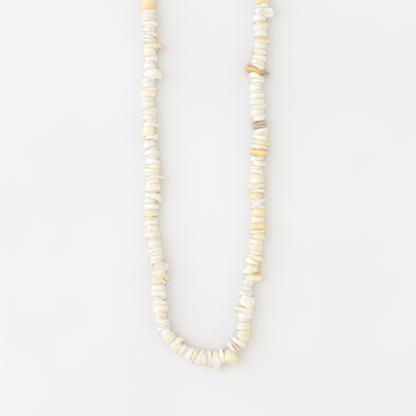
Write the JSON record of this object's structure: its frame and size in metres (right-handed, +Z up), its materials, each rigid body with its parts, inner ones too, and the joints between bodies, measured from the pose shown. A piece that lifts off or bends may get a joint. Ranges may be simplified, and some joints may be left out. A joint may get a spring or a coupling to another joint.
{
  "type": "puka shell necklace",
  "caption": "Closed necklace of small irregular white, cream and amber shell chips on a thread with a barrel clasp, lying flat in a long U-shaped loop.",
  "frame": {"origin": "middle of the necklace's footprint, on the surface that it lies on", "axes": "+Z up from that surface, +Y along the loop from its round bottom towards the clasp, +X across the loop"},
  "size_m": [0.0564, 0.2114, 0.0058],
  "materials": {
    "shell_white": "polished natural white shell, soft gloss",
    "shell_cream": "polished natural cream shell with growth bands, soft gloss",
    "shell_yellow": "polished yellow shell with growth bands, soft gloss",
    "shell_gold": "polished dull gold shell, soft gloss",
    "shell_orange": "polished orange shell with growth bands, soft gloss",
    "shell_peach": "polished peach shell with bands, soft gloss",
    "shell_tan": "polished tan shell, soft gloss",
    "shell_amber": "polished translucent amber shell, glossy",
    "shell_brown": "polished brown shell with dark growth lines, soft gloss",
    "shell_clear": "polished translucent shell with a clear rim, glossy",
    "thread": "waxed off-white cord",
    "clasp": "smooth plated metal barrel"
  },
  "bodies": {
    "root": {"white_shells": "shell_white", "cream_shells": "shell_cream", "thread": "thread", "clasp": "clasp", "left_yellow_block": "shell_yellow", "left_tan_sliver": "shell_tan", "left_clear_round": "shell_clear", "left_peach_block": "shell_peach", "left_yellow_cube": "shell_yellow", "left_orange_nub": "shell_orange", "left_tan_wing": "shell_tan", "left_peach_wedge": "shell_peach", "left_gold_round": "shell_gold", "left_orange_sliver": "shell_orange", "left_clear_bump": "shell_clear", "left_yellow_chip": "shell_yellow", "left_orange_chip": "shell_orange", "bottom_yellow_corner": "shell_yellow", "bottom_striped_chip": "shell_orange", "bottom_cream_drop": "shell_cream", "bottom_gold_round": "shell_gold", "bottom_brown_stripe": "shell_brown", "bottom_gold_wedge": "shell_gold", "right_cream_wing": "shell_gold", "right_clear_rim": "shell_clear", "right_orange_tilt": "shell_orange", "right_orange_low": "shell_orange", "right_gold_low": "shell_gold", "right_peach_chip": "shell_peach", "right_gold_round": "shell_gold", "right_orange_block": "shell_orange", "right_yellow_chip": "shell_yellow", "right_brown_yellow": "shell_yellow", "right_tan_lens": "shell_tan", "right_orange_diagonal": "shell_orange", "right_amber_lens": "shell_amber", "right_yellow_lens": "shell_yellow", "right_brown_banded": "shell_brown", "right_amber_wing": "shell_amber", "right_grey_round": "shell_clear", "right_tan_wide": "shell_tan", "right_orange_brown": "shell_orange", "right_clear_disc": "shell_clear", "right_yellow_top": "shell_yellow"}
  },
  "joints": []
}
